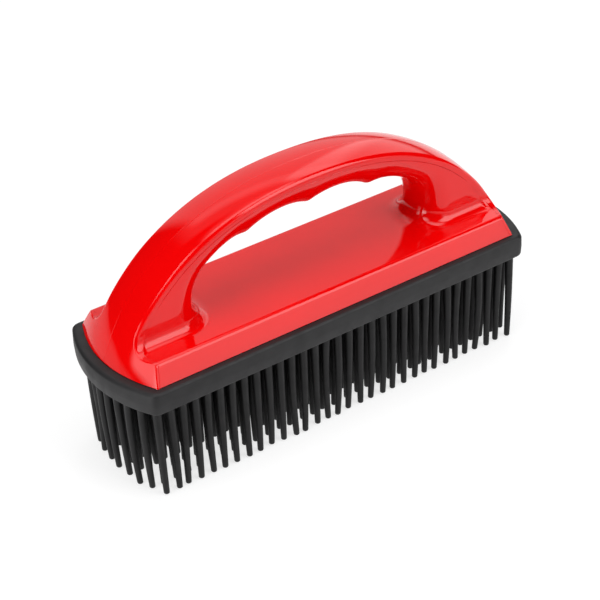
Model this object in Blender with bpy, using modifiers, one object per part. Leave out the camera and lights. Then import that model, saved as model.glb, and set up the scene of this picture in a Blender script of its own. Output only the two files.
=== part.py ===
"""Hand brush: an arched two-part handle on a stiff plate, with a one-piece rubber bristle boot.

Frame: metres, +Z up, +X along the brush, origin on the plane of the bristle tips under the
middle of the brush. Lengths below are in millimetres and are scaled once, by MM.
"""
import math

import bmesh
import bpy
from mathutils import Matrix, Vector

MM = 0.001
GAP = 0.3                 # clearance kept between touching pieces

# ---- driving dimensions (mm) -------------------------------------------------------------
Z_BASE = 41.6             # foot of the red handle above the bristle tips
CORNER_Y = 22.45          # half width of the base block at its foot
BASE_H = 6.44             # height of the base block, foot to deck
DECK_Y = 19.2             # ... and at its deck

ARCH_A, ARCH_N = 81.33, 2.2209      # outer profile of the arch, a superellipse about (0, ARCH_Z)
ARCH_C, ARCH_M = 90.55, 2.7758
ARCH_Z = -46.06

BAND_W_FOOT, BAND_W_CROWN = 10.05, 9.85  # half width of the band on the legs and at the crown
BAND_FLARE = 5.65         # radius of the band's flare into the end wall
LIP = 1.1                 # thickness of the band along its edges
BAND_T = 2.4              # thickness of the band inside its rebate
WALL = 2.2                # wall of the inner moulding

LEG_X = 44.7              # inner face of each leg
NOSE_R = 8.3              # depth of the rounding on the hole side of the grip
SCALLOP_R = 25.8
CUSP_X = 24.2             # side ridges between the finger scallops
CUSP_MID_Z, CUSP_SIDE_Z = 29.4, 27.25
CORNER_CX = 28.0          # centre of the hole's upper corners
CORNER_TOP = 27.6
CORNER_CZ = BASE_H + 6.4
COVE_R, COVE_NOSE_R = 2.8, 5.0

RIM_OUT = 2.5             # rubber rim beyond the foot of the handle
RIM_END_OUT = 1.3         # ... and this much more at the two bowed ends
RIM_CORNER_R = 3.0
RIM_BOT, RIM_TOP = 33.5, 41.3
WEB_TOP = 36.5            # top of the rubber web = underside of the plate pocket
PLATE_BOT, PLATE_TOP = 36.8, 39.2
LIP_BOT = 39.5
LIP_IN = -3.4             # inner edge of the rubber lip, measured from the handle's foot outline

ROWS = (32, 33, 34, 33, 34, 33, 34, 33, 32)
ROW_PITCH = 5.21
BRISTLE_ROOT, BRISTLE_TIP = 1.46, 0.98   # radii
BRISTLE_INSET = 0.2       # outermost bristles' axes inside the bowed end of the handle's foot
BRISTLE_SIDES = 5

PLATE_SCREWS = [(-50.0, -13.5), (50.0, -13.5), (-50.0, 13.5), (50.0, 13.5)]
HANDLE_SCREWS = [(-62.0, 0.0), (-52.0, 0.0), (52.0, 0.0), (62.0, 0.0)]

# ---- scene -------------------------------------------------------------------------------
for ob in list(bpy.data.objects):
    bpy.data.objects.remove(ob, do_unlink=True)

parts = bpy.data.collections.new("rubber_hand_brush")
bpy.context.scene.collection.children.link(parts)
cutters = bpy.data.collections.new("cutters")
bpy.context.scene.collection.children.link(cutters)


def material(name, colour, roughness, metallic=0.0):
    mat = bpy.data.materials.new(name)
    mat.use_nodes = True
    bsdf = mat.node_tree.nodes["Principled BSDF"]
    bsdf.inputs["Base Color"].default_value = (*colour, 1.0)
    bsdf.inputs["Roughness"].default_value = roughness
    bsdf.inputs["Metallic"].default_value = metallic
    return mat


def red(name):
    return material(name, (0.75, 0.012, 0.012), 0.18)


def new_object(name, bm, collection, mat=None):
    me = bpy.data.meshes.new(name)
    bmesh.ops.recalc_face_normals(bm, faces=bm.faces)
    bm.to_mesh(me)
    bm.free()
    if mat is not None:
        me.materials.append(mat)
    ob = bpy.data.objects.new(name, me)
    collection.objects.link(ob)
    if collection is cutters:
        ob.hide_render = True
        ob.display_type = "WIRE"
    return ob


def boolean(ob, other, operation):
    mod = ob.modifiers.new(other.name, "BOOLEAN")
    mod.operation = operation
    mod.object = other
    mod.solver = "EXACT"
    return mod


def cylinder(bm, x, y, z0, z1, r0, r1=None, sides=16):
    """A closed cylinder or cone frustum along Z, between z0 and z1 (mm)."""
    at = Matrix.Translation(Vector((x, y, (z0 + z1) / 2)) * MM)
    bmesh.ops.create_cone(bm, cap_ends=True, segments=sides, radius1=r0 * MM,
                          radius2=(r0 if r1 is None else r1) * MM,
                          depth=(z1 - z0) * MM, matrix=at)


def box(bm, x0, x1, y0, y1, z0, z1):
    at = Matrix.Translation(Vector(((x0 + x1) / 2, (y0 + y1) / 2, (z0 + z1) / 2)) * MM)
    size = Matrix.Diagonal(Vector(((x1 - x0) * MM, (y1 - y0) * MM, (z1 - z0) * MM, 1.0)))
    bmesh.ops.create_cube(bm, size=1.0, matrix=at @ size)


def stitch(bm, loops, closed):
    """Quads between successive loops of equal length."""
    count = len(loops[0])
    for a, b in zip(loops, loops[1:]):
        for i in range(count if closed else count - 1):
            j = (i + 1) % count
            bm.faces.new((a[i], a[j], b[j], b[i]))


# ---- the arch ------------------------------------------------------------------------------
def smooth(t):
    t = min(1.0, max(0.0, t))
    return t * t * (3.0 - 2.0 * t)


def arch_x(z):
    return ARCH_A * (1.0 - ((z - ARCH_Z) / ARCH_C) ** ARCH_M) ** (1.0 / ARCH_N)


def arch_z(x):
    return ARCH_Z + ARCH_C * (1.0 - (x / ARCH_A) ** ARCH_N) ** (1.0 / ARCH_M)


def crown_radius(z):
    """Radius of the band's crowned face across its width."""
    if z < BASE_H:
        return 45.8 + (39.2 - 45.8) * z / BASE_H
    return 39.2 + (35.5 - 39.2) * smooth((z - BASE_H) / 20.0)


def arch_dir(x, z):
    """Direction out of the arch: level at the base block, square to the arch above it."""
    nx = ARCH_N / ARCH_A * (x / ARCH_A) ** (ARCH_N - 1.0) if x > 0 else 0.0
    nz = ARCH_M / ARCH_C * ((z - ARCH_Z) / ARCH_C) ** (ARCH_M - 1.0)
    k = smooth((z - CORNER_CZ) / 14.0)
    d = Vector((nx, nz)).normalized().lerp(Vector((1.0, 0.0)), 1.0 - k)
    return d.normalized()


def band_half_width(x, z):
    """Half width of the band on the legs and crown, without its flare."""
    return BAND_W_CROWN + (BAND_W_FOOT - BAND_W_CROWN) * smooth(x / 45.0)


def band_point(x, z, y, depth):
    """A point of the band at offset y from its centre line, depth under its face."""
    d = arch_dir(x, z)
    sink = y * y / (2.0 * crown_radius(z)) + depth
    return (x - d.x * sink, y, z - d.y * sink)


def half_wall(z):
    """Half width of the end wall at height z of the base block."""
    return CORNER_Y + (DECK_Y - CORNER_Y) * z / BASE_H


# ---- top band shell ------------------------------------------------------------------------
def band_section(x, z, w, w_in):
    k = 1.0 / 0.89 if z < CORNER_CZ else 1.0
    lip, deep = LIP * k, BAND_T * k
    outer = [(-w + 2 * w * i / 8, 0.0) for i in range(9)]
    inner = [(w_in - 2 * w_in * i / 4, deep) for i in range(5)]
    ring = outer + [(w, lip), (w_in, lip)] + inner + [(-w_in, lip), (-w, lip)]
    return [band_point(x, z, y, d) for y, d in ring]


def band_stations():
    """(x, z, half width, half width of the thick part), from the foot up to the crown."""
    out = []
    for z in (0.0, 3.75):
        out.append((arch_x(z), z, half_wall(z), half_wall(z) - 3.2))
    narrow = BAND_W_FOOT - 2.7
    for z in (3.9, BASE_H - 0.15):
        out.append((arch_x(z), z, half_wall(z), narrow))
    for i in range(5):
        a = math.radians(90 - 22.5 * i)
        z = BASE_H + BAND_FLARE * (1 - math.sin(a))
        x = arch_x(z)
        w = band_half_width(x, z) + BAND_FLARE * (1 - math.cos(a))
        out.append((x, z, w, narrow))
    for z in (17.0, 22.0, 27.0, 31.5, 35.0):
        x = arch_x(z)
        out.append((x, z, band_half_width(x, z), narrow))
    for x in (42.0, 35.0, 28.0, 21.0, 14.0, 7.0, 0.0):
        z = arch_z(x)
        w = band_half_width(x, z)
        out.append((x, z, w, w - 2.7))
    return out


bm = bmesh.new()
half = [band_section(*s) for s in band_stations()]
sections = half + [[(-x, y, z) for x, y, z in s] for s in reversed(half[:-1])]
loops = [[bm.verts.new((x * MM, y * MM, (z + Z_BASE) * MM)) for x, y, z in s] for s in sections]
stitch(bm, loops, closed=True)
bm.faces.new(loops[0])
bm.faces.new(list(reversed(loops[-1])))
band = new_object("top_band_shell", bm, parts, red("red_band"))

bm = bmesh.new()
for sx, sy in HANDLE_SCREWS:
    top = 17.6 if abs(sx) > 57 else 26.6
    cylinder(bm, sx, sy, Z_BASE + BASE_H + 0.2, Z_BASE + top, 2.8, sides=12)
boss = new_object("band_bosses", bm, cutters)
boolean(band, boss, "UNION")

bm = bmesh.new()
for sx, sy in HANDLE_SCREWS:
    cylinder(bm, sx, sy, Z_BASE + 5.0, Z_BASE + 14.4, 1.55, sides=10)
pilot = new_object("band_pilots", bm, cutters)
boolean(band, pilot, "DIFFERENCE")


# ---- grip body shell -----------------------------------------------------------------------
SEAM = LIP + GAP          # the inner moulding starts this far under the band's face


def seam_x(y, z):
    return arch_x(z) - y * y / (2.0 * crown_radius(z)) - SEAM / 0.89


def seam_on_arch(x):
    """Seam point of the near edge for the arch station at x: (x, z) in the arch's plane."""
    z = arch_z(x)
    px, _, pz = band_point(x, z, band_half_width(x, z), SEAM)
    return px, pz


def seam_on_ray(angle):
    """Where a ray from the corner centre meets the seam curve."""
    if angle <= 0.0:
        return seam_x(BAND_W_FOOT, CORNER_CZ), CORNER_CZ
    low, high = 5.0, arch_x(CORNER_CZ)
    for _ in range(50):
        mid = (low + high) / 2
        px, pz = seam_on_arch(mid)
        if math.atan2(pz - CORNER_CZ, px - CORNER_CX) > angle:
            low = mid
        else:
            high = mid
    return seam_on_arch((low + high) / 2)


def scallop_z(x):
    """Hole outline in the middle plane, from the crown to the start of the upper corner."""
    if x >= CUSP_X:
        return CORNER_TOP - (SCALLOP_R - math.sqrt(SCALLOP_R ** 2 - (x - CORNER_CX) ** 2))
    a, b = Vector((0.0, CUSP_MID_Z)), Vector((CUSP_X, CUSP_SIDE_Z))
    chord = b - a
    mid = (a + b) / 2
    normal = Vector((-chord.y, chord.x)).normalized()
    centre = mid - normal * math.sqrt(SCALLOP_R ** 2 - (chord.length / 2) ** 2)
    return centre.y + math.sqrt(SCALLOP_R ** 2 - (x - centre.x) ** 2)


def corner_point(angle):
    """Hole outline on the upper corner, on the ray at this angle from the corner centre."""
    a, b, n = LEG_X - CORNER_CX, CORNER_TOP - CORNER_CZ, 2.2
    c, s = math.cos(angle), math.sin(angle)
    k = ((abs(c) / a) ** n + (abs(s) / b) ** n) ** (-1.0 / n)
    return CORNER_CX + k * c, CORNER_CZ + k * s


NOSE_STEPS, FLAT_STEPS = 4, 2


def slice_loop(e, n, w, t):
    """Half loop from the seam point e over the flat side and round the nose to n (x, z).

    t is the depth under the outer face: 0 for the face itself, WALL for its inside."""
    e, n = Vector(e), Vector(n)
    length = (n - e).length
    d = (n - e) / length
    nose = min(NOSE_R, 0.88 * length)
    pts = []
    for i in range(FLAT_STEPS):
        p = e + d * (length - nose) * i / FLAT_STEPS
        pts.append((p.x, w - t, p.y))
    for i in range(NOSE_STEPS + 1):
        a = math.pi / 2 * i / NOSE_STEPS
        p = e + d * (length - nose + (nose - t) * math.sin(a))
        pts.append((p.x, (w - t) * math.cos(a), p.y))
    return pts


def cove_loop(theta, t):
    """Half loop of the cove round a foot: theta 0 at its top, 90 degrees on the deck."""
    pts = []
    w = BAND_W_FOOT - t
    out, down = 1 - math.cos(theta), math.sin(theta)
    for i in range(FLAT_STEPS):
        a = i / FLAT_STEPS
        r = COVE_R + (BAND_FLARE - COVE_R) * (1 - smooth(a / 0.5))
        x0 = seam_x(BAND_W_FOOT + r * out, BASE_H + r * (1 - down))
        pts.append((x0 + (LEG_X + NOSE_R - x0) * a, w + (r + t) * out, BASE_H + r - (r + t) * down))
    for i in range(NOSE_STEPS + 1):
        a = math.pi / 2 * i / NOSE_STEPS
        r = COVE_R + (COVE_NOSE_R - COVE_R) * smooth(i / NOSE_STEPS)
        x = LEG_X + NOSE_R - (NOSE_R - t + (r + t) * out) * math.sin(a)
        y = (w + (r + t) * out) * math.cos(a)
        pts.append((x, y, BASE_H + r - (r + t) * down))
    return pts


def grip_surface(bm, t):
    """The visible face of the inner moulding (t = 0), or its inside (t = WALL), as an open mesh."""
    def vert(x, y, z):
        return bm.verts.new((x * MM, y * MM, (z + Z_BASE) * MM))

    half = [cove_loop(math.radians(d), t) for d in (90, 60, 30, 0)]
    for deg in (0, 18, 36, 54, 72):
        a = math.radians(deg)
        half.append(slice_loop(seam_on_ray(a), corner_point(a), BAND_W_FOOT, t))
    for x in (28.0, 26.1, CUSP_X, 20.2, 16.1, 12.1, 8.1, 4.0, 0.0):
        half.append(slice_loop((x, seam_on_arch(x)[1]), (x, scallop_z(x)),
                               band_half_width(x, 0), t))
    del half[4]           # the first slice and the top of the cove meet on the flat side
    whole = [[(x, -y, z) for x, y, z in h] + list(reversed(h[:-1])) for h in half]
    ring = whole + [[(-x, y, z) for x, y, z in w] for w in reversed(whole[:-1])]
    loops = [[vert(*p) for p in lp] for lp in ring]
    stitch(bm, loops, closed=False)

    lean = WALL / 0.89 * (t > 0)
    top = BASE_H - t
    hub = vert(0.0, 0.0, top)
    mids = {sy: vert(0.0, sy * (half_wall(top) - lean), top) for sy in (-1, 1)}
    lows = {sy: vert(0.0, sy * (CORNER_Y - lean), 0.0) for sy in (-1, 1)}
    for side, deck_loop in ((1, loops[0]), (-1, loops[-1])):
        n = len(deck_loop) // 2
        for sy, chain in ((-1, deck_loop[:n + 1]), (1, list(reversed(deck_loop[n:])))):
            flare = BAND_W_FOOT + BAND_FLARE
            rim = []
            for k in (0.5, 1.0):
                y = flare + (DECK_Y - flare) * k
                inner_y = flare + (half_wall(top) - lean - flare) * k
                rim.append(vert(side * seam_x(y, BASE_H), sy * inner_y, top))
            low = vert(side * seam_x(CORNER_Y, 0.0), sy * (CORNER_Y - lean), 0.0)
            bm.faces.new(chain + [hub, mids[sy]] + list(reversed(rim)))
            bm.faces.new((mids[sy], rim[-1], low, lows[sy]))


bm = bmesh.new()
grip_surface(bm, 0.0)
bm.verts.index_update()
split = len(bm.verts)
grip_surface(bm, WALL)
bm.verts.ensure_lookup_table()
for edge in [e for e in bm.edges if len(e.link_faces) == 1 and e.verts[0].index < split
             and e.verts[1].index < split and e.verts[0].index >= 0]:
    i, j = (v.index for v in edge.verts)
    bm.faces.new((bm.verts[i], bm.verts[j], bm.verts[split + j], bm.verts[split + i]))
grip = new_object("grip_body_shell", bm, parts, red("red_grip"))

bm = bmesh.new()
for side in (1, -1):
    x0, x1 = sorted((side * 41.0, side * 68.3))
    box(bm, x0, x1, -11.4, 11.4, Z_BASE + 4.35, Z_BASE + 6.3)
floors = new_object("grip_floors", bm, cutters)

bm = bmesh.new()
for sx, sy in PLATE_SCREWS:
    cylinder(bm, sx, sy, PLATE_TOP + GAP, Z_BASE + BASE_H - 0.6, 3.2, sides=12)
posts = new_object("grip_bosses", bm, cutters)

bm = bmesh.new()
for sx, sy in HANDLE_SCREWS:
    cylinder(bm, sx, sy, Z_BASE + 3.0, Z_BASE + 8.0, 1.55, sides=10)
for sx, sy in PLATE_SCREWS:
    cylinder(bm, sx, sy, PLATE_TOP - 1.0, Z_BASE + 4.6, 1.55, sides=10)
holes = new_object("grip_holes", bm, cutters)
boolean(grip, floors, "UNION")
boolean(grip, posts, "UNION")
boolean(grip, holes, "DIFFERENCE")


# ---- plan outline of the foot, offset outwards by d ------------------------------------------
END_R = 45.8
END_CX = arch_x(0.0) - END_R


def quarter(d, r):
    """Outline of one quarter from the end's middle to the side's middle, corner radius r."""
    end = END_R + d + RIM_END_OUT * min(1.0, max(0.0, (d - 0.5) / (RIM_OUT - 0.5)))
    fy = CORNER_Y + d - r
    fx = END_CX + math.sqrt((end - r) ** 2 - fy ** 2)
    turn = math.atan2(fy, fx - END_CX)
    pts = [(END_CX + end * math.cos(turn * i / 5), end * math.sin(turn * i / 5)) for i in range(5)]
    for i in range(4):
        a = turn + (math.pi / 2 - turn) * i / 3
        pts.append((fx + r * math.cos(a), fy + r * math.sin(a)))
    pts.append((0.0, CORNER_Y + d))
    return pts


def outline(d, r):
    q = quarter(d, r)
    right_up = q[:-1]
    top = [(-x, y) for x, y in reversed(q[:-1])]
    return ([(x, y) for x, y in right_up] + [q[-1]] + top
            + [(-x, -y) for x, y in q[1:-1]] + [(0.0, -q[-1][1])]
            + [(x, -y) for x, y in reversed(q[1:-1])])


def turned_outline(profile):
    """A closed body from a profile of (offset, height, corner radius) run round the outline."""
    body = bmesh.new()
    rings = [[body.verts.new((x * MM, y * MM, z * MM)) for x, y in outline(d, r)]
             for d, z, r in profile]
    stitch(body, rings, closed=True)
    body.faces.new(rings[0])
    body.faces.new(list(reversed(rings[-1])))
    return body


# ---- base plate ------------------------------------------------------------------------------
plate = new_object("base_plate", turned_outline(
    [(0.2, PLATE_BOT, 1.2), (0.2, PLATE_TOP, 1.2), (-3.8, PLATE_TOP, 0.8), (-3.8, Z_BASE + 1.4, 0.8),
     (-5.2, Z_BASE + 1.4, 0.6), (-5.2, PLATE_TOP, 0.6)]),
    parts, material("plate_plastic", (0.06, 0.06, 0.065), 0.5))
bm = bmesh.new()
for sx, sy in PLATE_SCREWS:
    cylinder(bm, sx, sy, PLATE_BOT - 0.5, PLATE_TOP + 0.5, 1.7, sides=12)
    cylinder(bm, sx, sy, PLATE_BOT - 0.2, PLATE_BOT + 1.5, 3.2, 1.5, sides=12)
plate_holes = new_object("plate_holes", bm, cutters)
plate_holes_mod = boolean(plate, plate_holes, "DIFFERENCE")
plate_holes_mod.use_self = True


# ---- bristle pad -----------------------------------------------------------------------------
pad = new_object("bristle_pad", turned_outline(
    [(0.5, WEB_TOP, 1.2), (0.5, LIP_BOT, 1.2), (LIP_IN, LIP_BOT, 0.8), (LIP_IN, RIM_TOP, 0.8),
     (0.9, RIM_TOP, 1.6), (1.9, RIM_TOP - 0.4, 2.4), (RIM_OUT, RIM_TOP - 1.4, RIM_CORNER_R),
     (RIM_OUT, RIM_BOT + 1.8, RIM_CORNER_R), (2.1, RIM_BOT + 0.7, 2.6), (1.2, RIM_BOT, 1.8)]),
    parts, material("black_rubber", (0.022, 0.021, 0.023), 0.6))


def bristles():
    """(x, y) of every bristle: staggered rows that end on the bowed outline."""
    for k, count in enumerate(ROWS):
        y = (k - (len(ROWS) - 1) / 2) * ROW_PITCH
        reach = END_CX + math.sqrt((END_R - BRISTLE_INSET) ** 2 - y * y)
        for i in range(count):
            yield -reach + 2 * reach * i / (count - 1), y


bm = bmesh.new()
root = BRISTLE_ROOT + (BRISTLE_ROOT - BRISTLE_TIP) * 0.8 / RIM_BOT
for bx, by in bristles():
    cylinder(bm, bx, by, 0.0, RIM_BOT + 0.8, BRISTLE_TIP, root, sides=BRISTLE_SIDES)
tufts = new_object("bristles", bm, cutters)
boolean(pad, tufts, "UNION")


# ---- screws ----------------------------------------------------------------------------------
steel = material("zinc_steel", (0.62, 0.62, 0.64), 0.32, 1.0)


def screw(name, x, y, profile, drive_r, drive_depth):
    """A turned screw from (radius, z) down its outer side, with a cross recess in its head."""
    curve = bmesh.new()
    pts = [curve.verts.new((r * MM, 0.0, z * MM)) for r, z in profile]
    for a, b in zip(pts, pts[1:]):
        curve.edges.new((a, b))
    me = bpy.data.meshes.new(name)
    curve.to_mesh(me)
    curve.free()
    me.materials.append(steel)
    ob = bpy.data.objects.new(name, me)
    parts.objects.link(ob)
    ob.location = (x * MM, y * MM, 0.0)
    turn = ob.modifiers.new("turn", "SCREW")
    turn.axis = "Z"
    turn.steps = 10
    turn.render_steps = 10
    turn.use_merge_vertices = True
    turn.merge_threshold = 0.00001
    turn.use_normal_calculate = True
    low = profile[-1][1]
    cut = bmesh.new()
    w = drive_r * 0.36
    box(cut, x - drive_r, x + drive_r, y - w, y + w, low - 0.5, low + drive_depth)
    slot_a = new_object(name + "_slot_a", cut, cutters)
    cut = bmesh.new()
    box(cut, x - w, x + w, y - drive_r, y + drive_r, low - 0.5, low + drive_depth * 0.98)
    slot_b = new_object(name + "_slot_b", cut, cutters)
    boolean(ob, slot_a, "DIFFERENCE")
    boolean(ob, slot_b, "DIFFERENCE")
    return ob


for i, (sx, sy) in enumerate(PLATE_SCREWS, 1):
    screw("plate_screw_%d" % i, sx, sy,
          [(0.0, Z_BASE + 3.9), (0.7, Z_BASE + 3.6), (1.2, Z_BASE + 2.8), (1.2, PLATE_BOT + 1.45),
           (2.7, PLATE_BOT + 0.05), (0.0, PLATE_BOT + 0.05)], 1.3, 0.8)
for i, (sx, sy) in enumerate(HANDLE_SCREWS, 1):
    screw("handle_screw_%d" % i, sx, sy,
          [(0.0, Z_BASE + 13.8), (0.7, Z_BASE + 13.5), (1.2, Z_BASE + 12.7), (1.2, Z_BASE + 4.05),
           (2.6, Z_BASE + 4.05), (2.6, Z_BASE + 2.9), (2.0, Z_BASE + 2.3), (0.0, Z_BASE + 2.3)],
          1.4, 0.9)

for ob in parts.objects:
    if ob.name.startswith(("plate_screw", "handle_screw")):
        ob.data.shade_smooth()
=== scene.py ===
"""Looks of the rubber-bristle hand brush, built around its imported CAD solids."""
import math
import random

import bmesh
import bpy
import numpy as np
from mathutils import Matrix, Vector


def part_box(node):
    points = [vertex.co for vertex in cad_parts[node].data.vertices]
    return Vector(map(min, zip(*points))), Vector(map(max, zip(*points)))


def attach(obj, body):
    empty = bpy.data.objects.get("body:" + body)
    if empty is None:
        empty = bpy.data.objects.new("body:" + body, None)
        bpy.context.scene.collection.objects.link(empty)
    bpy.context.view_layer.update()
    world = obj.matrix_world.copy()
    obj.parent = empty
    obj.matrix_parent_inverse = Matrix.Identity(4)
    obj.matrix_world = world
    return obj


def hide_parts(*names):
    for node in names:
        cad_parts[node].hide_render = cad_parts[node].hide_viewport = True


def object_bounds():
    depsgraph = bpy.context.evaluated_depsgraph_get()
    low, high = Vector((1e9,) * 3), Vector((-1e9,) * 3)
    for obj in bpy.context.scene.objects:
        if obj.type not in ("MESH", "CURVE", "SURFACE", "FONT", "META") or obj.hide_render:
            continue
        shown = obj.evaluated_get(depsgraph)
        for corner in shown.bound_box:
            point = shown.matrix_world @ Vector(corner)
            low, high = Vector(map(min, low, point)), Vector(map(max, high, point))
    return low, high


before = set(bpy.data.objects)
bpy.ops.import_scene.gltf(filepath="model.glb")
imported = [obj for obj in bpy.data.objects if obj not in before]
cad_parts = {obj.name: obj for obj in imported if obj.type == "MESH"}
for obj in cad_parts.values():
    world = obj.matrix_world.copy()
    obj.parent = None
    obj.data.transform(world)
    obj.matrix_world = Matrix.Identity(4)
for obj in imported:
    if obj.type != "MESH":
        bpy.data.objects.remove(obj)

MM = 0.001
cad_low, cad_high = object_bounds()

# ---- dimensions (mm), the same as the CAD's; heights are above the foot of the red handle --------
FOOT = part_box("top_band_shell")[0].z / MM           # foot of the handle above the bristle tips
CORNER_Y, DECK_Y, BASE_H = 22.45, 19.2, 6.44
ARCH_A, ARCH_N, ARCH_C, ARCH_M, ARCH_Z = 81.33, 2.2209, 90.50, 2.7758, -46.06
W_FOOT, W_CROWN, FLARE = 10.05, 10.15, 5.65
SEAM_FOOT, SEAM_LEG, SEAM_GAP = 0.85, 2.2, 0.09    # depth of the seam under the band's face, its width
SKIN = 0.9
EDGE_R, EDGE_FOOT_R, EDGE_CROWN_R = 1.3, 0.6, 1.75   # rounding of the band's edge: legs, base block, crown
DECK_R = 1.75               # rounding between deck and side wall
LEG_X, NOSE = 44.7, 9.16
CORNER_CX, CORNER_CZ = 28.0, 12.84
CORNER_TOP = 27.6
CUSP_X, CUSP_Z, CUSP_SIDE_Z = 24.2, 29.4, 27.25
SCALLOP_R = 25.8
COVE_R, COVE_NOSE_R = 3.7, 7.0      # cove between leg and deck: along the side face, under the nose
BOX = 2.0 / 2.3             # squareness of the nose's section on the legs: 1 would be an ellipse
CROWN_BOX = 2.0 / 2.05      # ... and along the crown
CROWN_FLAT = 0.3            # side face between seam and nose along the crown
DRAFT = math.tan(math.radians(10.0))
END_R = 45.8
RIM_TOP, RIM_BOT = 41.3, 33.5
WEB_TOP, LIP_BOT, LIP_IN = 36.5, 39.5, -3.4
ROWS = (32, 33, 34, 33, 34, 33, 34, 33, 32)
ROW_PITCH = 5.21
RIM_OUT, RIM_END_OUT = 2.5, 1.3     # rim beyond the handle's foot, and this much more at the bowed ends
BRISTLE_INSET = 0.2


def smooth(t):
    t = np.clip(t, 0.0, 1.0)
    return t * t * (3.0 - 2.0 * t)


def unit(v):
    v = np.asarray(v, float)
    return v / np.linalg.norm(v)


def slerp(a, b, t):
    w = math.acos(max(-1.0, min(1.0, float(np.dot(a, b)))))
    if w < 1e-6:
        return a
    return (math.sin((1 - t) * w) * a + math.sin(t * w) * b) / math.sin(w)


# ---- the arch: its middle profile by length q from the foot, 0 to CROWN_Q at the top ---------------
def arch_x(z):
    return ARCH_A * (1.0 - ((z - ARCH_Z) / ARCH_C) ** ARCH_M) ** (1.0 / ARCH_N)


def arch_z(x):
    return ARCH_Z + ARCH_C * (1.0 - (abs(x) / ARCH_A) ** ARCH_N) ** (1.0 / ARCH_M)


_t0 = math.asin((-ARCH_Z / ARCH_C) ** (ARCH_M / 2))
_t = np.linspace(_t0, math.pi / 2, 12001)
_px = ARCH_A * np.abs(np.cos(_t)) ** (2 / ARCH_N)
_px[-1] = 0.0
_pz = ARCH_Z + ARCH_C * np.sin(_t) ** (2 / ARCH_M)
_q = np.concatenate([[0.0], np.cumsum(np.hypot(np.diff(_px), np.diff(_pz)))])
CROWN_Q = float(_q[-1])


def q_of_z(z):
    return float(np.interp(z, _pz, _q))


def q_of_x(x):
    return float(np.interp(-x, -_px, _q))


def profile(q):
    side = 1.0 if q <= CROWN_Q else -1.0
    qq = CROWN_Q - abs(CROWN_Q - q)
    if qq < 0.0:        # below the foot the profile runs straight on
        return float(_px[0] + qq * (_px[1] - _px[0]) / _q[1]), float(qq * (_pz[1] - _pz[0]) / _q[1])
    return side * float(np.interp(qq, _q, _px)), float(np.interp(qq, _q, _pz))


def arch_dir(x, z):
    ax = abs(x)
    nx = ARCH_N / ARCH_A * (ax / ARCH_A) ** (ARCH_N - 1.0) if ax > 0 else 0.0
    nz = ARCH_M / ARCH_C * ((z - ARCH_Z) / ARCH_C) ** (ARCH_M - 1.0)
    k = float(smooth((z - CORNER_CZ) / 14.0))
    n = unit((nx, nz))
    d = unit((n[0] * k + (1.0 - k), n[1] * k))
    return (d[0] if x >= 0 else -d[0]), d[1]


def crown_radius(z):
    if z < BASE_H:
        return 45.8 + (39.2 - 45.8) * z / BASE_H
    return 39.2 + (35.5 - 39.2) * float(smooth((z - BASE_H) / 20.0))


def half_width(x):
    return W_CROWN + (W_FOOT - W_CROWN) * float(smooth(abs(x) / 45.0))


def parting(y):
    """Height of the fine mould parting line along the middle of the band."""
    return 0.045 * math.exp(-(y / 0.14) ** 2)


def face(y, q, depth=0.0):
    x, z = profile(q)
    dx, dz = arch_dir(x, z)
    s = y * y / (2.0 * crown_radius(z)) + depth - parting(y)
    return np.array((x - dx * s, y, z - dz * s))


def face_normal(y, q):
    e = 2e-3
    n = np.cross(face(y + e, q) - face(y - e, q), face(y, q + e) - face(y, q - e))
    n = unit(n)
    x, z = profile(q)
    dx, dz = arch_dir(x, z)
    return n if n[0] * dx + n[2] * dz > 0 else -n


def half_wall(z):
    return CORNER_Y + (DECK_Y - CORNER_Y) * z / BASE_H


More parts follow.
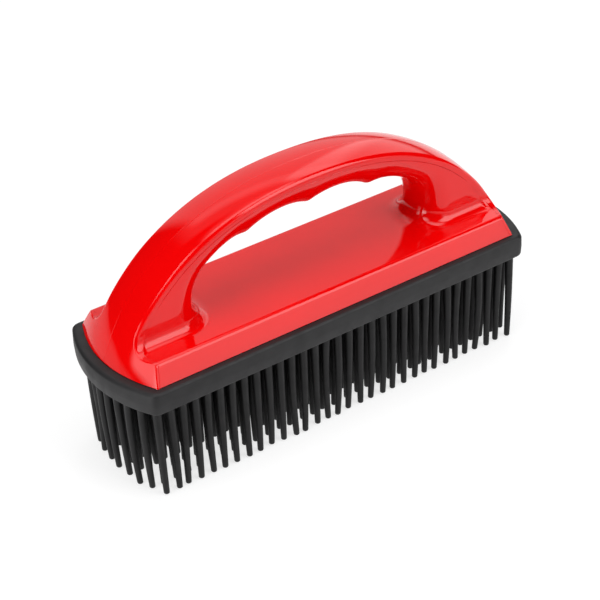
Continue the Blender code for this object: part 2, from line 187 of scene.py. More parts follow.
# ---- a skin: one visible face, its rounded edges and an inside, mirrored from one quarter ----------
class Skin:
    def __init__(self):
        self.verts, self.norms, self.index = [], [], {}
        self.main, self.trim, self.under, self.seam, self.caps = [], [], {}, set(), []

    def add(self, p, n=None):
        p = [0.0 if abs(c) < 1e-5 else float(c) for c in p]
        key = tuple(round(c * 5000) for c in p)
        if key in self.index:
            i = self.index[key]
            if n is not None and self.norms[i] is None:
                self.norms[i] = np.array(n, float)
            return i
        self.index[key] = len(self.verts)
        self.verts.append(p)
        self.norms.append(None if n is None else np.array(n, float))
        return len(self.verts) - 1

    def quad(self, store, *ids):
        ring = [i for k, i in enumerate(ids) if i != ids[k - 1]]
        if len(set(ring)) >= 3:
            store.append(tuple(ring))

    def grid(self, rows, store=None):
        store = self.main if store is None else store
        for a, b in zip(rows, rows[1:]):
            for i in range(len(a) - 1):
                self.quad(store, a[i], a[i + 1], b[i + 1], b[i])

    def mirror(self, axis):
        count = len(self.verts)
        other = []
        for i in range(count):
            p, n = list(self.verts[i]), self.norms[i]
            on_plane = p[axis] == 0.0
            if on_plane and n is not None:
                n[axis] = 0.0
                self.norms[i] = unit(n)
            p[axis] = -p[axis]
            if n is not None and not on_plane:
                n = n.copy()
                n[axis] = -n[axis]
            other.append(self.add(p, n))
        for store in (self.main, self.trim):
            store += [tuple(other[i] for i in reversed(f)) for f in store]
        self.under.update({other[a]: other[b] for a, b in list(self.under.items())})
        self.seam |= {frozenset((other[a], other[b])) for a, b in (tuple(e) for e in self.seam)}
        self.caps += [([other[i] for i in ring], other[end]) for ring, end in self.caps]

    def build(self, name, mat):
        """The closed body: the face, its edges, and an inside at SKIN under the face."""
        bm = bmesh.new()
        vs = [bm.verts.new([c * MM for c in (p[0], p[1], p[2] + FOOT)]) for p in self.verts]
        outer = [bm.faces.new([vs[i] for i in f]) for f in self.main]
        bmesh.ops.recalc_face_normals(bm, faces=outer)
        if sum(f.normal.z * f.calc_area() for f in outer) < 0:
            bmesh.ops.reverse_faces(bm, faces=outer)
        bm.normal_update()
        used = sorted({i for f in self.main for i in f})
        flat = {i: Vector(self.norms[i]) if self.norms[i] is not None else vs[i].normal for i in used}
        inner = {i: bm.verts.new(vs[i].co - flat[i].normalized() * SKIN * MM) for i in used}
        count = {}
        for f in self.main:
            bm.faces.new([inner[i] for i in reversed(f)])
            for k, i in enumerate(f):
                count.setdefault(frozenset((i, f[k - 1])), []).append((f[k - 1], i))
        for f in self.trim:
            bm.faces.new([vs[i] for i in f])
        for edge, uses in count.items():
            if len(uses) == 1:
                a, b = uses[0]
                if edge in self.seam:
                    bm.faces.new((vs[self.under[a]], vs[self.under[b]], inner[b], inner[a]))
                else:
                    bm.faces.new((vs[a], vs[b], inner[b], inner[a]))
        for ring, end in self.caps:
            bm.faces.new([vs[i] for i in ring] + [inner[end]])
        bmesh.ops.recalc_face_normals(bm, faces=bm.faces)
        for f in bm.faces:
            f.smooth = True
        me = bpy.data.meshes.new(name)
        bm.to_mesh(me)
        bm.free()
        set_n = [Vector(n).normalized() if n is not None else Vector((0, 0, 0)) for n in self.norms]
        set_n += [Vector((0, 0, 0))] * (len(me.vertices) - len(set_n))
        me.normals_split_custom_set_from_vertices(set_n)
        me.materials.append(mat)
        ob = bpy.data.objects.new(name, me)
        bpy.context.scene.collection.objects.link(ob)
        return ob


# ---- the boundary that the band and the grip share: foot corner, deck end, flare, leg, crown ------
def slant(x, z):
    """How much longer a depth is along arch_dir than square to the arch."""
    dx, dz = arch_dir(x, z)
    nx = ARCH_N / ARCH_A * (abs(x) / ARCH_A) ** (ARCH_N - 1.0)
    nz = ARCH_M / ARCH_C * ((z - ARCH_Z) / ARCH_C) ** (ARCH_M - 1.0)
    return 1.0 / float(np.dot(unit((nx, nz)), (abs(dx), dz)))


class Station:
    """A point of the seam: offset y, profile length q, outward normal (ny, nz) seen along X."""
    def __init__(self, kind, y, z=None, x=None, ny=1.0, nz=0.0, key=0.0):
        self.kind, self.y, self.key = kind, y, key
        self.q = q_of_z(z) if x is None else q_of_x(x)
        self.x, self.z = profile(self.q)
        self.side = np.array((0.0, ny, nz))
        self.seam = seam_depth(kind, key) * slant(self.x, self.z)


def along_edge(kind, key, foot, deck, leg):
    """A size that goes from its value at the foot, over that at the deck, to that on the leg."""
    if kind in ("wall", "corner"):
        return foot
    if kind == "deck":
        return foot + (deck - foot) * float(smooth(key))
    if kind == "flare":
        return deck + (leg - deck) * float(smooth(key / (0.42 * math.pi)))
    return leg


def seam_depth(kind, key):
    return along_edge(kind, key, SEAM_FOOT, 1.25, SEAM_LEG)


def stations():
    lean = unit((BASE_H, CORNER_Y - DECK_Y))                # side wall's normal
    turn = math.atan2(lean[1], lean[0])
    tan = DECK_R * math.tan((math.pi / 2 - turn) / 2)        # corner rounding
    wall = unit((DECK_Y - CORNER_Y, BASE_H))
    out = []
    top = np.array((DECK_Y, BASE_H)) - wall * tan
    steps = 16
    for i in range(steps + 1):
        p = np.array((CORNER_Y, 0.0)) * (1 - i / steps) + top * (i / steps)
        out.append(Station("wall", p[0], p[1], ny=lean[0], nz=lean[1]))
    centre = np.array((DECK_Y - tan, BASE_H - DECK_R))
    for i in range(1, 9):
        a = turn + (math.pi / 2 - turn) * i / 8
        n = np.array((math.cos(a), math.sin(a)))
        p = centre + DECK_R * n
        out.append(Station("corner", p[0], p[1], ny=n[0], nz=n[1]))
    flare_y = W_FOOT + FLARE
    for i in range(1, 9):
        y = (DECK_Y - tan) + (flare_y - DECK_Y + tan) * i / 8
        out.append(Station("deck", y, BASE_H, ny=0.0, nz=1.0, key=i / 8))
    for i in range(1, 21):
        f = math.radians(90 * i / 20)
        out.append(Station("flare", flare_y - FLARE * math.sin(f), BASE_H + FLARE * (1 - math.cos(f)),
                           ny=math.sin(f), nz=math.cos(f), key=f))
    for i in range(0, 45):
        a = math.radians(90.0 * i / 44)
        x, z = seam_on_ray(a)
        out.append(Station("ray", half_width(x), x=x, key=a))
    for i in range(1, 57):
        x = 28.0 * (1 - i / 56)
        out.append(Station("top", half_width(x), x=x, key=x))
    return out


def seam_at(x):
    """(x, z) of the seam for the arch station at x, in the plane of the grip's side."""
    z = arch_z(x)
    dx, dz = arch_dir(x, z)
    s = half_width(x) ** 2 / (2.0 * crown_radius(z)) + SEAM_LEG * slant(x, z)
    return x - dx * s, z - dz * s


def seam_on_ray(angle):
    """The arch station (x, z) whose seam point lies on this ray from the corner centre."""
    if angle <= 0.0:
        x = arch_x(CORNER_CZ)
        return x, CORNER_CZ
    low, high = 5.0, arch_x(CORNER_CZ)
    for _ in range(60):
        mid = (low + high) / 2
        px, pz = seam_at(mid)
        if math.atan2(pz - CORNER_CZ, px - CORNER_CX) > angle:
            low = mid
        else:
            high = mid
    x = (low + high) / 2
    return x, arch_z(x)


LINE = stations()
FIRST_LEG = next(i for i, s in enumerate(LINE) if s.kind == "ray")
FIRST_FLARE = next(i for i, s in enumerate(LINE) if s.kind == "flare") - 1
CORNER_MID = next(i for i, s in enumerate(LINE) if s.kind == "corner") + 3


# ---- the band ------------------------------------------------------------------------------------
def edge_radius(s):
    fuller = (EDGE_CROWN_R - EDGE_R) * float(smooth((s.z - 27.0) / 8.0))
    return along_edge(s.kind, s.key, EDGE_FOOT_R, 1.0, EDGE_R) + fuller


def band_mesh():
    skin = Skin()
    rim = []
    for s in LINE:
        x, z = profile(s.q)
        dx, dz = arch_dir(x, z)
        low = s.kind in ("wall", "corner", "deck", "flare")
        slope = (profile(s.q + 0.01)[1] - profile(s.q - 0.01)[1]) / 0.02 if low else 1.0
        my, mq = -s.side[1], -s.side[2] / max(slope, 0.3)
        edge = face(s.y, s.q)
        r = edge_radius(s)
        delta = r * 0.6
        for _ in range(12):
            p = face(s.y + my * delta, s.q + mq * delta)
            n = face_normal(s.y + my * delta, s.q + mq * delta)
            delta -= float(np.dot(edge - p + r * n, s.side)) - r
        centre = p - r * n
        ring = [skin.add(p, n)]
        for k in range(1, 9):
            d = slerp(n, s.side, k / 8)
            ring.append(skin.add(centre + r * d, d))
        end = centre + r * s.side
        away = np.array((dx, 0.0, dz))
        lip = s.seam - SEAM_GAP * slant(s.x, s.z)
        drop = max(0.03, lip - float(np.dot(edge - end, away)))
        ring.append(skin.add(end - away * drop, s.side))
        skin.under[ring[0]] = ring[-1]
        rim.append((ring, s.y + my * delta, s.q + mq * delta))
    skin.grid([r[0] for r in rim], skin.trim)
    for a, b in zip(rim, rim[1:]):
        skin.seam.add(frozenset((a[0][0], b[0][0])))
    skin.caps.append((rim[0][0], rim[0][0][0]))

    # lower block: columns down from the top line, rows as many as the corner edge has
    rows = CORNER_MID
    tops = rim[CORNER_MID:FIRST_LEG + 1]
    shares = [1 - v for v in (0.0, 0.008, 0.018, 0.032, 0.05, 0.09, 0.16, 0.26, 0.38, 0.5, 0.62, 0.74,
                              0.84, 0.92, 0.97, 1.0)][::-1]
    leg_y, leg_q = rim[FIRST_LEG][1], rim[FIRST_LEG][2]
    top_line = [(t[1], t[2], t[0][0]) for t in tops]
    top_line += [(leg_y * (1 - c), leg_q, None) for c in shares[1:]]
    foot_y = rim[0][1]
    span = top_line[0][0]
    grid = []
    for y, q, i in top_line:
        column = []
        for k in range(rows + 1):
            v = k / rows
            if k == rows and i is not None:
                column.append(i)
                continue
            py = (y * foot_y / span) * (1 - v) + y * v
            column.append(skin.add(face(py, q * v), face_normal(py, q * v)))
        grid.append(column)
    grid[0] = [rim[k][0][0] for k in range(rows + 1)]
    skin.grid(grid)
    # leg and crown: rows across, from the edge to the middle
    across = []
    for ring, y, q in rim[FIRST_LEG:]:
        row = [ring[0]]
        for c in shares[1:]:
            row.append(skin.add(face(y * (1 - c), q), face_normal(y * (1 - c), q)))
        across.append(row)
    skin.grid(across)
    skin.mirror(0)
    skin.mirror(1)
    return skin


# ---- the grip ------------------------------------------------------------------------------------
def scallop_arc(x, x0, z0, x1, z1):
    """Height of the circular scallop that runs from one ridge to the next."""
    a, b = np.array((x0, z0)), np.array((x1, z1))
    chord = b - a
    n = unit((-chord[1], chord[0]))
    c = (a + b) / 2 - n * math.sqrt(SCALLOP_R ** 2 - (np.linalg.norm(chord) / 2) ** 2)
    return c[1] + math.sqrt(SCALLOP_R ** 2 - (x - c[0]) ** 2)


def scallop_z(x):
    """Hole outline in the middle plane: finger scallops with softened ridges between them."""
    arcs = []
    if x < CUSP_X + 4:
        arcs.append(scallop_arc(x, 0.0, CUSP_Z, CUSP_X, CUSP_SIDE_Z))
    if x < 4:
        arcs.append(scallop_arc(x, -CUSP_X, CUSP_SIDE_Z, 0.0, CUSP_Z))
    if x > CUSP_X - 6:
        arcs.append(CORNER_TOP - (SCALLOP_R - math.sqrt(SCALLOP_R ** 2 - (x - CORNER_CX) ** 2)))
    soft, top = 0.16, max(arcs)
    return top + soft * math.log(sum(math.exp((a - top) / soft) for a in arcs))


def corner_ray(angle):
    a, b, n = LEG_X - CORNER_CX, CORNER_TOP - CORNER_CZ, 2.12
    c, s = math.cos(angle), math.sin(angle)
    return ((abs(c) / a) ** n + (abs(s) / b) ** n) ** (-1.0 / n)


SECTION = 36                # points of a section from the seam to the middle of the nose


class Section:
    """Side face and nose of the grip at one leg or crown station, in the plane of the slice."""
    def __init__(self, s):
        self.start = np.array(seam_on_side(s))
        if s.kind == "ray":
            k = corner_ray(s.key)
            tip = np.array((CORNER_CX + k * math.cos(s.key), CORNER_CZ + k * math.sin(s.key)))
            crown = float(smooth((math.degrees(s.key) - 45.0) / 45.0))
        else:
            tip, crown = np.array((self.start[0], scallop_z(self.start[0]))), 1.0
        length = float(np.linalg.norm(tip - self.start))
        self.d = (tip - self.start) / length
        leg = -0.5 * math.log(math.exp(-length / 0.5) + math.exp(-NOSE / 0.5))
        self.nose = leg + (length - CROWN_FLAT - leg) * crown
        self.flat = length - self.nose
        self.box = BOX + (CROWN_BOX - BOX) * crown
        self.draft = DRAFT * crown
        self.w = s.y

    def flatwise(self, along, y):
        return np.array((self.start[0] + self.d[0] * along, y, self.start[1] + self.d[1] * along))

    def at(self, t):
        """t from 0 at the seam to 1 at the end of the side face, and on to 2 at the nose's middle."""
        if t <= 1.0:
            along, c = self.flat * t, 1.0
        else:
            phi = (t - 1.0) * math.pi / 2
            along = self.flat + self.nose * math.sin(phi) ** self.box
            c = max(0.0, math.cos(phi)) ** self.box
        return self.flatwise(along, (self.w - self.draft * along) * c)

    def normal(self, t):
        e = 2e-3
        v = self.at(min(2.0, t + e)) - self.at(max(0.0, t - e))
        along = float(np.dot(v, (self.d[0], 0.0, self.d[1])))
        return unit((-v[1] * self.d[0], along, -v[1] * self.d[1]))


def seam_on_side(s):
    dx, dz = arch_dir(s.x, s.z)
    depth = s.y ** 2 / (2.0 * crown_radius(s.z)) + s.seam
    return s.x - dx * depth, s.z - dz * depth


def seam_point(s):
    return face(s.y, s.q, s.seam)


def shoulder(s):
    """Radius of the grip's rounded shoulder along the seam."""
    return along_edge(s.kind, s.key, 0.22, 0.22, 0.3)


def fillet(skin, base, n_face, n_seam, r, point=None):
    """Rounded shoulder from the seam wall to the face: returns its vertices, face side first."""
    if point is None:
        centre = base - r * (n_face + n_seam) / (1.0 + float(np.dot(n_face, n_seam)))
        point = centre + r * n_face
    else:
        centre = point - r * n_face
    ring = [skin.add(point, n_face)]
    for k in range(1, 8):
        d = slerp(n_face, n_seam, k / 7)
        ring.append(skin.add(centre + r * d, d))
    ring.append(skin.add(centre + r * n_seam - n_face * 0.9, n_seam))
    skin.under[ring[0]] = ring[-1]
    return ring, point


def resample(points, count):
    pts = np.array(points)
    step = np.concatenate([[0.0], np.cumsum(np.linalg.norm(np.diff(pts, axis=0), axis=1))])
    goal = np.linspace(0.0, step[-1], count)
    return np.stack([np.interp(goal, step, pts[:, k]) for k in range(3)], 1)


def grip_mesh():
    skin = Skin()
    rim, slices = [], {}
    for i, s in enumerate(LINE):
        n_seam = face_normal(s.y, s.q)
        base = seam_point(s)
        r = shoulder(s)
        if s.kind in ("ray", "top"):
            sec = Section(s)
            low, high = 0.0, 1.7
            for _ in range(40):             # where a ball of radius r touches both faces
                t = (low + high) / 2
                p, n = sec.at(t), sec.normal(t)
                if float(np.dot(base - p + r * n, n_seam)) < r:
                    low = t
                else:
                    high = t
            ring, p = fillet(skin, base, n, n_seam, r, p)
            pts = resample([sec.at(t + (2.0 - t) * k / 400) for k in range(401)], SECTION)
            pts[-1][1] = 0.0
            slices[i] = [ring[0]] + [skin.add(q) for q in pts[1:]]
            if s.kind == "ray" and s.key == 0.0:
                zero = (pts, sec.start, sec.flat, sec.nose)
        else:
            ring, p = fillet(skin, base, s.side, n_seam, r)
        rim.append(ring)
    skin.grid(rim, skin.trim)
    for a, b in zip(rim, rim[1:]):
        skin.seam.add(frozenset((a[0], b[0])))
    skin.caps.append((rim[0], rim[0][0]))

    # cove round the foot: the same section as the lowest leg slice, swept down onto the deck
    pts, start, flat, nose = zero
    marks = []
    for p in pts:
        gone = start[0] - p[0]
        if gone < flat:
            marks.append((gone / flat, 0.0, 1.0))
        else:
            marks.append((1.0, (gone - flat) / nose, max(0.0, p[1]) / W_FOOT))
    for i, s in enumerate(LINE):
        if s.kind not in ("flare", "deck") or i < FIRST_FLARE:
            continue
        theta = math.pi / 2 - s.key if s.kind == "flare" else math.pi / 2
        t = theta / (math.pi / 2)
        row = [rim[i][0]]
        first = skin.verts[rim[i][0]]
        for a, deep, wide in marks[1:]:
            near, nose_k = 1 - float(smooth(a / 0.1)), float(smooth(math.atan2(deep, wide) / (math.pi / 2)))
            r = COVE_R + (FLARE - COVE_R) * near + (COVE_NOSE_R - COVE_R) * nose_k
            high = min(r, CORNER_CZ - BASE_H - 0.15)          # stays under the lowest slice of the leg
            # a quarter circle along the side face, a curve that dies away softly under the nose
            out = (1 - nose_k) * (1 - math.cos(theta)) + nose_k * t * t
            down = (1 - nose_k) * math.sin(theta) + nose_k * (1 - (1 - t) ** 2)
            y = (W_FOOT + r * out) * wide
            if a < 1.0:
                edge = seam_point_x(W_FOOT + r * out, BASE_H + high * (1 - down), s.seam)
                x = edge + (start[0] - flat - edge) * a
                x = min(x, first[0] - 0.05)
            else:
                x = start[0] - flat - (nose + r * out) * deep
            z = BASE_H + high * (1 - down)
            up = (0.0, 0.0, 1.0) if theta > math.pi / 2 - 1e-6 else None
            row.append(skin.add((x, y, z), up))
        slices[i] = row
    order = sorted(slices)
    skin.grid([slices[i] for i in order])

    # deck, inner part: from the foot's outline to a line near the deck's edge and to the middle
    up = (0.0, 0.0, 1.0)
    foot = slices[FIRST_FLARE]
    deck_ids = [i for i, s in enumerate(LINE) if s.kind == "deck" and i <= FIRST_FLARE]
    inner_ids = deck_ids[3:]                     # from the dividing line in to the flare
    divide = LINE[inner_ids[0]].y
    bend = len([m for m in marks if m[0] < 1.0])
    on_side = bend + int((SECTION - bend) * 0.62)
    goal = []
    for k in range(SECTION):
        fx = skin.verts[foot[k]][0]
        if k <= bend:
            goal.append((fx, divide))
        elif k <= on_side:
            x0 = skin.verts[foot[bend]][0]
            goal.append((x0 * (1 - (k - bend) / (on_side - bend)), divide))
        else:
            goal.append((0.0, divide * (1 - (k - on_side) / (SECTION - 1 - on_side))))
    rows = []
    steps = len(inner_ids) - 1
    for k in range(steps + 1):
        v = k / steps                            # 0 at the dividing line, 1 at the foot
        row = [rim[inner_ids[k]][0]]
        edge_x = skin.verts[row[0]][0]
        for c in range(1, SECTION):
            if k == steps:
                row.append(foot[c])
                continue
            fx, fy, _ = skin.verts[foot[c]]
            gx, gy = goal[c]
            row.append(skin.add((min(edge_x - 0.02, gx + (fx - gx) * v), gy + (fy - gy) * v, BASE_H), up))
        rows.append(row)
    skin.grid(rows)
    # deck edge, its rounding and the side wall: rows straight along the brush
    xs = [goal[c][0] for c in range(on_side + 1)]
    strips = []
    for i in range(0, inner_ids[0] + 1):
        s = LINE[i]
        ids = [rim[i][0]]
        x_end, y, z = skin.verts[rim[i][0]]
        for c in range(1, on_side + 1):
            if i == inner_ids[0]:
                ids.append(rows[0][c])
            else:
                x = min(xs[c], x_end - 0.02 * c) if xs[c] > 0 else 0.0
                ids.append(skin.add((x, y, z), s.side))
        strips.append(ids)
    skin.grid(strips)
    skin.mirror(0)
    skin.mirror(1)
    return skin


def seam_point_x(y, z, depth):
    return arch_x(z) - y * y / (2.0 * crown_radius(z)) - depth


# ---- rubber boot: rim, web and bristles ------------------------------------------------------------
END_CX = arch_x(0.0) - END_R


def plan_outline(d, r, arc=28, turn_steps=9, straight=26):
    """Plan outline of the foot, offset outwards by d, with corner radius r, as a closed ring."""
    end = END_R + d + RIM_END_OUT * min(1.0, max(0.0, (d - 0.5) / (RIM_OUT - 0.5)))
    fy = CORNER_Y + d - r
    fx = END_CX + math.sqrt((end - r) ** 2 - fy ** 2)
    turn = math.atan2(fy, fx - END_CX)
    q = [(END_CX + end * math.cos(turn * i / arc), end * math.sin(turn * i / arc)) for i in range(arc)]
    for i in range(turn_steps + 1):
        a = turn + (math.pi / 2 - turn) * i / turn_steps
        q.append((fx + r * math.cos(a), fy + r * math.sin(a)))
    q += [(fx * (1 - i / straight), CORNER_Y + d) for i in range(1, straight + 1)]
    upper = q + [(-x, y) for x, y in reversed(q[:-1])]
    return upper + [(x, -y) for x, y in reversed(upper[1:-1])]


def rounded(points, radii, steps=5):
    """A profile polyline with its corners rounded: (offset, height) by (offset, height) points."""
    out = [points[0]]
    for a, b, c, r in zip(points, points[1:], points[2:], radii):
        u, v = np.array(a, float) - b, np.array(c, float) - b
        lu, lv = np.linalg.norm(u), np.linalg.norm(v)
        u, v = u / lu, v / lv
        half = math.acos(float(np.clip(np.dot(u, v), -1, 1))) / 2
        cut = min(r / math.tan(half), 0.49 * lu, 0.49 * lv)
        rr = cut * math.tan(half)
        centre = np.array(b) + unit(u + v) * rr / math.sin(half)
        p, q = np.array(b) + u * cut - centre, np.array(b) + v * cut - centre
        for k in range(steps + 1):
            d = slerp(unit(p), unit(q), k / steps)
            out.append(tuple(centre + d * rr))
    out.append(points[-1])
    return out


def link(name, bm, mat, smooth_faces=True):
    bmesh.ops.recalc_face_normals(bm, faces=bm.faces)
    for f in bm.faces:
        f.smooth = smooth_faces
    me = bpy.data.meshes.new(name)
    bm.to_mesh(me)
    bm.free()
    me.materials.append(mat)
    ob = bpy.data.objects.new(name, me)
    bpy.context.scene.collection.objects.link(ob)
    return ob


def rubber_rim(mat):
    """The stretched edge of the boot and the web under the plate, as one turned closed body."""
    outer = [(-0.55, RIM_TOP), (0.15, RIM_TOP), (2.42, RIM_TOP - 0.02), (2.5, 37.0), (2.38, RIM_BOT),
             (0.6, RIM_BOT)]
    side = rounded(outer, [0.5, 1.15, 6.0, 1.3])
    ring = [(0.5, WEB_TOP), (0.5, LIP_BOT), (LIP_IN, LIP_BOT), (LIP_IN, RIM_TOP)] + side
    bm = bmesh.new()
    loops = []
    for d, z in ring:
        r = max(0.8, min(3.0, 1.2 + 0.75 * d))
        loops.append([bm.verts.new((x * MM, y * MM, z * MM)) for x, y in plan_outline(d, r)])
    n = len(loops[0])
    for a, b in zip(loops, loops[1:]):
        for i in range(n):
            j = (i + 1) % n
            bm.faces.new((a[i], a[j], b[j], b[i]))
    # the web: straight across between the two halves of each ring
    for loop in (loops[0], loops[-1]):
        half = n // 2
        for i in range(half):
            quad = [loop[i], loop[i + 1], loop[(n - i - 1) % n], loop[(n - i) % n]]
            quad = [v for k, v in enumerate(quad) if v is not quad[k - 1]]
            if len(set(quad)) >= 3:
                bm.faces.new(quad)
    return link("boot_rim_and_web", bm, mat)


def bristle_places():
    for k, count in enumerate(ROWS):
        y = (k - (len(ROWS) - 1) / 2) * ROW_PITCH
        reach = END_CX + math.sqrt((END_R - BRISTLE_INSET) ** 2 - y * y)
        for i in range(count):
            yield -reach + 2 * reach * i / (count - 1), y, i, count, k


def bristle_field(mat):
    """Every bristle: a tapered round rod with a rounded tip, a little out of true as moulded rubber is."""
    rnd = random.Random(7)
    sides = 14
    bm = bmesh.new()
    for x, y, i, count, row in bristle_places():
        lean_x = rnd.gauss(0.0, 0.35) - 0.9 * (x / 66.0) ** 3
        lean_y = rnd.gauss(0.0, 0.3) - 0.25 * (y / 21.0)
        bow_x, bow_y = rnd.gauss(0.0, 0.22), rnd.gauss(0.0, 0.2)
        tip_z = rnd.uniform(0.0, 0.25)
        twist = rnd.uniform(0.0, math.tau)
        rings = []
        body = [(z, 0.98 + 0.48 * z / RIM_BOT) for z in (RIM_BOT + 0.8, RIM_BOT - 0.6, 29.0, 24.0, 19.0,
                                                         14.0, 9.5, 5.5, 2.2)]
        body[0] = (RIM_BOT + 0.8, 1.66)
        body.insert(1, (RIM_BOT - 0.02, 1.66))
        body[2] = (RIM_BOT - 0.5, 1.48)
        tip = [(0.45 - 0.45 * math.sin(a), 0.53 + 0.45 * math.cos(a))
               for a in (0.0, math.pi / 8, math.pi / 4, 3 * math.pi / 8, math.pi / 2)]
        for z, r in body + tip:
            z = tip_z + z * (RIM_BOT - tip_z) / RIM_BOT if z < RIM_BOT else z
            t = max(0.0, 1.0 - z / RIM_BOT)
            cx = x + lean_x * t ** 1.4 + bow_x * math.sin(math.pi * t)
            cy = y + lean_y * t ** 1.4 + bow_y * math.sin(math.pi * t)
            rings.append([bm.verts.new(((cx + r * math.cos(twist + math.tau * s / sides)) * MM,
                                        (cy + r * math.sin(twist + math.tau * s / sides)) * MM, z * MM))
                          for s in range(sides)])
        for a, b in zip(rings, rings[1:]):
            for s in range(sides):
                j = (s + 1) % sides
                bm.faces.new((a[s], a[j], b[j], b[s]))
        bm.faces.new(rings[0])
        bm.faces.new(list(reversed(rings[-1])))
    return link("boot_bristles", bm, mat)


# ---- materials -------------------------------------------------------------------------------------
class Nodes:
    def __init__(self, name):
        self.mat = bpy.data.materials.new(name)
        self.mat.use_nodes = True
        self.tree = self.mat.node_tree
        self.shader = self.tree.nodes["Principled BSDF"]
        self.place = self.add("ShaderNodeTexCoord").outputs["Object"]

    def add(self, kind, **values):
        node = self.tree.nodes.new(kind)
        for key, value in values.items():
            if hasattr(node, key):
                setattr(node, key, value)
            else:
                node.inputs[key.replace("_", " ")].default_value = value
        return node

    def join(self, out, node, socket):
        self.tree.links.new(out, node.inputs[socket])

    def noise(self, scale, detail=3.0, roughness=0.5, stretch=None):
        node = self.add("ShaderNodeTexNoise", Scale=scale, Detail=detail, Roughness=roughness)
        source = self.place
        if stretch:
            mapping = self.add("ShaderNodeMapping")
            mapping.inputs["Scale"].default_value = stretch
            self.join(source, mapping, "Vector")
            source = mapping.outputs["Vector"]
        self.join(source, node, "Vector")
        return node.outputs["Fac"]

    def remap(self, out, a, b, low, high):
        node = self.add("ShaderNodeMapRange")
        for key, v in (("From Min", a), ("From Max", b), ("To Min", low), ("To Max", high)):
            node.inputs[key].default_value = v
        self.join(out, node, "Value")
        return node.outputs["Result"]

    def mix(self, factor, colour_a, colour_b):
        node = self.add("ShaderNodeMix", data_type="RGBA")
        node.inputs[6].default_value = (*colour_a, 1.0)
        node.inputs[7].default_value = (*colour_b, 1.0)
        self.join(factor, node, 0)
        return node.outputs[2]

    def bump(self, height, strength, distance, after=None):
        node = self.add("ShaderNodeBump", Strength=strength, Distance=distance)
        self.join(height, node, "Height")
        if after is not None:
            self.join(after, node, "Normal")
        return node.outputs["Normal"]


def red_plastic(name, shift=0.0):
    """Glossy moulded plastic: one red all through, a polished face with faint ripple and fine wear."""
    n = Nodes(name)
    tone = n.noise(38.0, 4.0, 0.55)
    n.join(n.mix(n.remap(tone, 0.35, 0.65, 0.0, 1.0), (0.78 + shift, 0.0005, 0.0009),
                 (0.83 + shift, 0.0008, 0.0012)), n.shader, "Base Color")
    haze = n.noise(140.0, 5.0, 0.6, (1.0, 2.2, 1.0))
    n.join(n.remap(haze, 0.3, 0.75, 0.045, 0.085), n.shader, "Roughness")
    ripple = n.noise(46.0, 1.0, 0.4)
    fine = n.noise(900.0, 2.0, 0.5)
    b = n.bump(ripple, 0.10, 0.0004)
    n.join(n.bump(fine, 0.05, 0.00004, b), n.shader, "Normal")
    n.shader.inputs["IOR"].default_value = 1.47
    return n.mat


def black_rubber(name, base=0.009, rough=(0.46, 0.6), ior=1.43):
    """Matt moulded rubber: slightly warm black with a powdery bloom and a fine grain."""
    n = Nodes(name)
    bloom = n.noise(55.0, 5.0, 0.6)
    n.join(n.mix(n.remap(bloom, 0.35, 0.7, 0.0, 1.0), (base * 0.85, base * 0.8, base * 0.9),
                 (base * 1.3, base * 1.24, base * 1.34)), n.shader, "Base Color")
    grain = n.noise(1400.0, 4.0, 0.6)
    n.join(n.remap(n.noise(260.0, 3.0), 0.3, 0.7, *rough), n.shader, "Roughness")
    n.join(n.bump(grain, 0.35, 0.00006), n.shader, "Normal")
    n.shader.inputs["IOR"].default_value = ior
    return n.mat


def plate_plastic():
    n = Nodes("plate_plastic")
    n.join(n.mix(n.noise(30.0, 4.0), (0.035, 0.035, 0.038), (0.06, 0.06, 0.064)), n.shader, "Base Color")
    n.join(n.remap(n.noise(300.0), 0.3, 0.7, 0.42, 0.6), n.shader, "Roughness")
    n.join(n.bump(n.noise(2200.0, 3.0, 0.7), 0.5, 0.00008), n.shader, "Normal")
    return n.mat


def zinc_steel():
    n = Nodes("zinc_steel")
    n.join(n.mix(n.noise(420.0, 4.0), (0.52, 0.53, 0.55), (0.66, 0.66, 0.67)), n.shader, "Base Color")
    n.join(n.remap(n.noise(900.0), 0.3, 0.7, 0.22, 0.4), n.shader, "Roughness")
    n.join(n.bump(n.noise(3000.0, 2.0), 0.3, 0.00003), n.shader, "Normal")
    n.shader.inputs["Metallic"].default_value = 1.0
    return n.mat


red_band, red_grip = red_plastic("red_band"), red_plastic("red_grip")
rubber = black_rubber("rubber_black")

band = band_mesh().build("handle_top_band", red_band)
grip = grip_mesh().build("handle_grip_and_deck", red_grip)
rim = rubber_rim(rubber)
bristles = bristle_field(black_rubber("bristle_rubber", 0.004, ior=1.36))

for piece, slot_name, nodes in ((band, "handle_red", ("top_band_shell",)),
                                (grip, "handle_red", ("grip_body_shell",)),
                                (rim, "rubber_black", ("bristle_pad",)),
                                (bristles, "rubber_black", ("bristle_pad",))):
    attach(piece, "root")
    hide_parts(*nodes)

plate_mat, steel_mat = plate_plastic(), zinc_steel()
for name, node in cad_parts.items():
    if name == "base_plate":
        for s in node.material_slots:
            s.material = plate_mat
    elif "screw" in name:
        for s in node.material_slots:
            s.material = steel_mat


# ---- floor, light and camera -----------------------------------------------------------------------
FLOOR_PAINTED_GLOW = 0.74


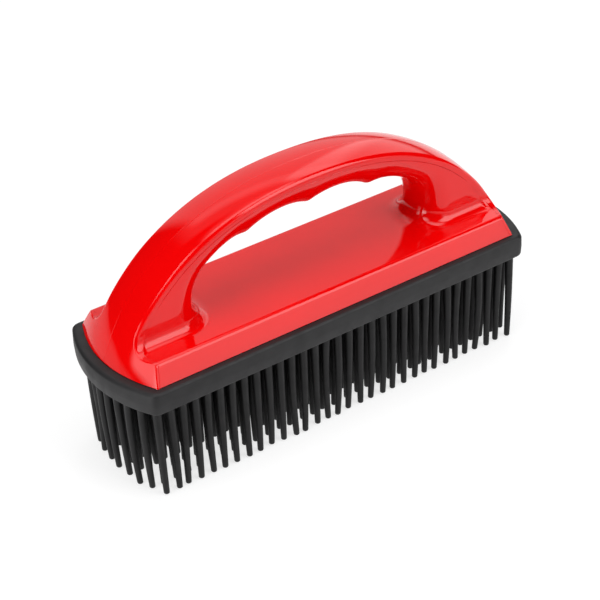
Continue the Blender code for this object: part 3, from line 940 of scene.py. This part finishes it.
def floor_material():
    """A pale table top with a painted glow where the brush stands and beyond it, dimmed by painted shade past
    two straight edges to the brush's left.
    """
    n = Nodes("pale_floor_painted_glow")
    n.join(n.mix(n.noise(3.0, 3.0), (0.30, 0.30, 0.30), (0.32, 0.32, 0.32)), n.shader, "Base Color")
    n.shader.inputs["Roughness"].default_value = 0.9
    n.shader.inputs["Specular IOR Level"].default_value = 0.0
    n.shader.inputs["Emission Color"].default_value = (1.0, 1.0, 1.0, 1.0)
    shares = []
    # two straight edges of the painted glow, past which it fades to painted shade: (a point, the way out,
    # where it starts and ends to fade)
    for at, out, start, end in (((-0.134, -0.031, 0.0), (-0.883, 0.468, 0.0), 0.01, 0.12),
                                ((-0.134, -0.031, 0.0), (-0.615, -0.788, 0.0), 0.004, 0.045)):
        shift = n.add("ShaderNodeVectorMath", operation="SUBTRACT")
        shift.inputs[1].default_value = at
        n.join(n.place, shift, 0)
        along = n.add("ShaderNodeVectorMath", operation="DOT_PRODUCT")
        along.inputs[1].default_value = out
        n.join(shift.outputs[0], along, 0)
        shares.append(n.remap(along.outputs["Value"], start, end, 1.0, 0.4))
    both = n.add("ShaderNodeMath", operation="MULTIPLY")
    n.join(shares[0], both, 0)
    n.join(shares[1], both, 1)
    # painted glow: the floor's emission stands in for lamplight, and the fades above paint it darker by place
    glow = n.add("ShaderNodeMath", operation="MULTIPLY")
    glow.inputs[1].default_value = FLOOR_PAINTED_GLOW
    n.join(both.outputs[0], glow, 0)
    n.join(glow.outputs[0], n.shader, "Emission Strength")
    return n.mat


bm = bmesh.new()
bmesh.ops.create_grid(bm, x_segments=1, y_segments=1, size=6.0)
floor = link("floor", bm, floor_material(), False)
floor.location.z = cad_low[2] - 0.0002

world = bpy.data.worlds.new("studio")
bpy.context.scene.world = world
world.use_nodes = True
world.node_tree.nodes["Background"].inputs["Color"].default_value = (1.0, 1.0, 1.0, 1.0)
world.node_tree.nodes["Background"].inputs["Strength"].default_value = 0.015


def softbox(name, azimuth, elevation, wide, high, radiance, feather=0.3, distance=1.5):
    """A rectangular soft light facing the brush, placed and sized by the angles it fills.

    Azimuth runs from +X towards +Y; feather is the share of each half that fades out to the edge."""
    light = bpy.data.lights.new(name, "AREA")
    light.shape = "RECTANGLE"
    light.size = 2 * distance * math.tan(math.radians(wide) / 2)
    light.size_y = 2 * distance * math.tan(math.radians(high) / 2)
    light.energy = radiance * math.pi * light.size * light.size_y
    light.use_nodes = True
    tree = light.node_tree
    glow = next(n for n in tree.nodes if n.type == "EMISSION")
    place = tree.nodes.new("ShaderNodeNewGeometry")
    split = tree.nodes.new("ShaderNodeSeparateXYZ")
    tree.links.new(place.outputs["Parametric"], split.inputs[0])
    fades = []
    for axis in (0, 1):
        away = tree.nodes.new("ShaderNodeMath")
        away.operation = "SUBTRACT"
        away.inputs[1].default_value = 0.5
        tree.links.new(split.outputs[axis], away.inputs[0])
        size = tree.nodes.new("ShaderNodeMath")
        size.operation = "ABSOLUTE"
        tree.links.new(away.outputs[0], size.inputs[0])
        fade = tree.nodes.new("ShaderNodeMapRange")
        fade.interpolation_type = "SMOOTHSTEP"
        for key, v in (("From Min", 0.5), ("From Max", 0.5 - 0.5 * feather), ("To Min", 0.0), ("To Max", 1.0)):
            fade.inputs[key].default_value = v
        tree.links.new(size.outputs[0], fade.inputs["Value"])
        fades.append(fade.outputs["Result"])
    both = tree.nodes.new("ShaderNodeMath")
    both.operation = "MULTIPLY"
    tree.links.new(fades[0], both.inputs[0])
    tree.links.new(fades[1], both.inputs[1])
    tree.links.new(both.outputs[0], glow.inputs["Strength"])
    ob = bpy.data.objects.new(name, light)
    a, e = math.radians(azimuth), math.radians(elevation)
    out = Vector((math.cos(a) * math.cos(e), math.sin(a) * math.cos(e), math.sin(e)))
    ob.location = Vector((0.0, 0.0, 0.06)) + out * distance
    ob.rotation_euler = out.to_track_quat("Z", "Y").to_euler()
    bpy.context.scene.collection.objects.link(ob)
    return ob


softbox("key_front_right", -60.0, 37.0, 36.0, 46.0, 4.1, 0.3)
softbox("key_front_right_low", -60.0, 6.0, 60.0, 24.0, 0.9, 0.5)
softbox("key_front_right_edge", -60.0, 14.0, 50.0, 14.0, 1.0, 0.5)
softbox("back_right_edge", 37.0, 30.0, 20.0, 58.0, 1.05, 0.3)
softbox("back_right_wide", 68.0, 30.0, 56.0, 60.0, 0.8, 0.3)
softbox("back_right_top", 66.0, 58.0, 70.0, 24.0, 0.4, 0.4)
softbox("left_low", 175.0, 13.0, 36.0, 26.0, 2.6, 0.4)
softbox("left_near", -166.0, -2.0, 30.0, 30.0, 5.5, 0.5, 0.3)
softbox("left_high", -170.0, 52.0, 44.0, 40.0, 3.4, 0.6)
softbox("overhead", 0.0, 86.0, 50.0, 50.0, 2.9, 0.5)

cam_data = bpy.data.cameras.new("camera")
cam_data.sensor_width = 36.0
cam_data.lens = 109.64
cam_data.clip_start, cam_data.clip_end = 0.05, 20.0
cam = bpy.data.objects.new("camera", cam_data)
cam.matrix_world = Matrix(((0.81155236, 0.34757966, -0.46965002, -0.282537),
                           (-0.58303099, 0.42922542, -0.68981186, -0.412356),
                           (-0.03817885, 0.83363896, 0.55098862, 0.363066),
                           (0.0, 0.0, 0.0, 1.0)))
bpy.context.scene.collection.objects.link(cam)
bpy.context.scene.camera = cam
bpy.context.scene.view_settings.view_transform = "Standard"
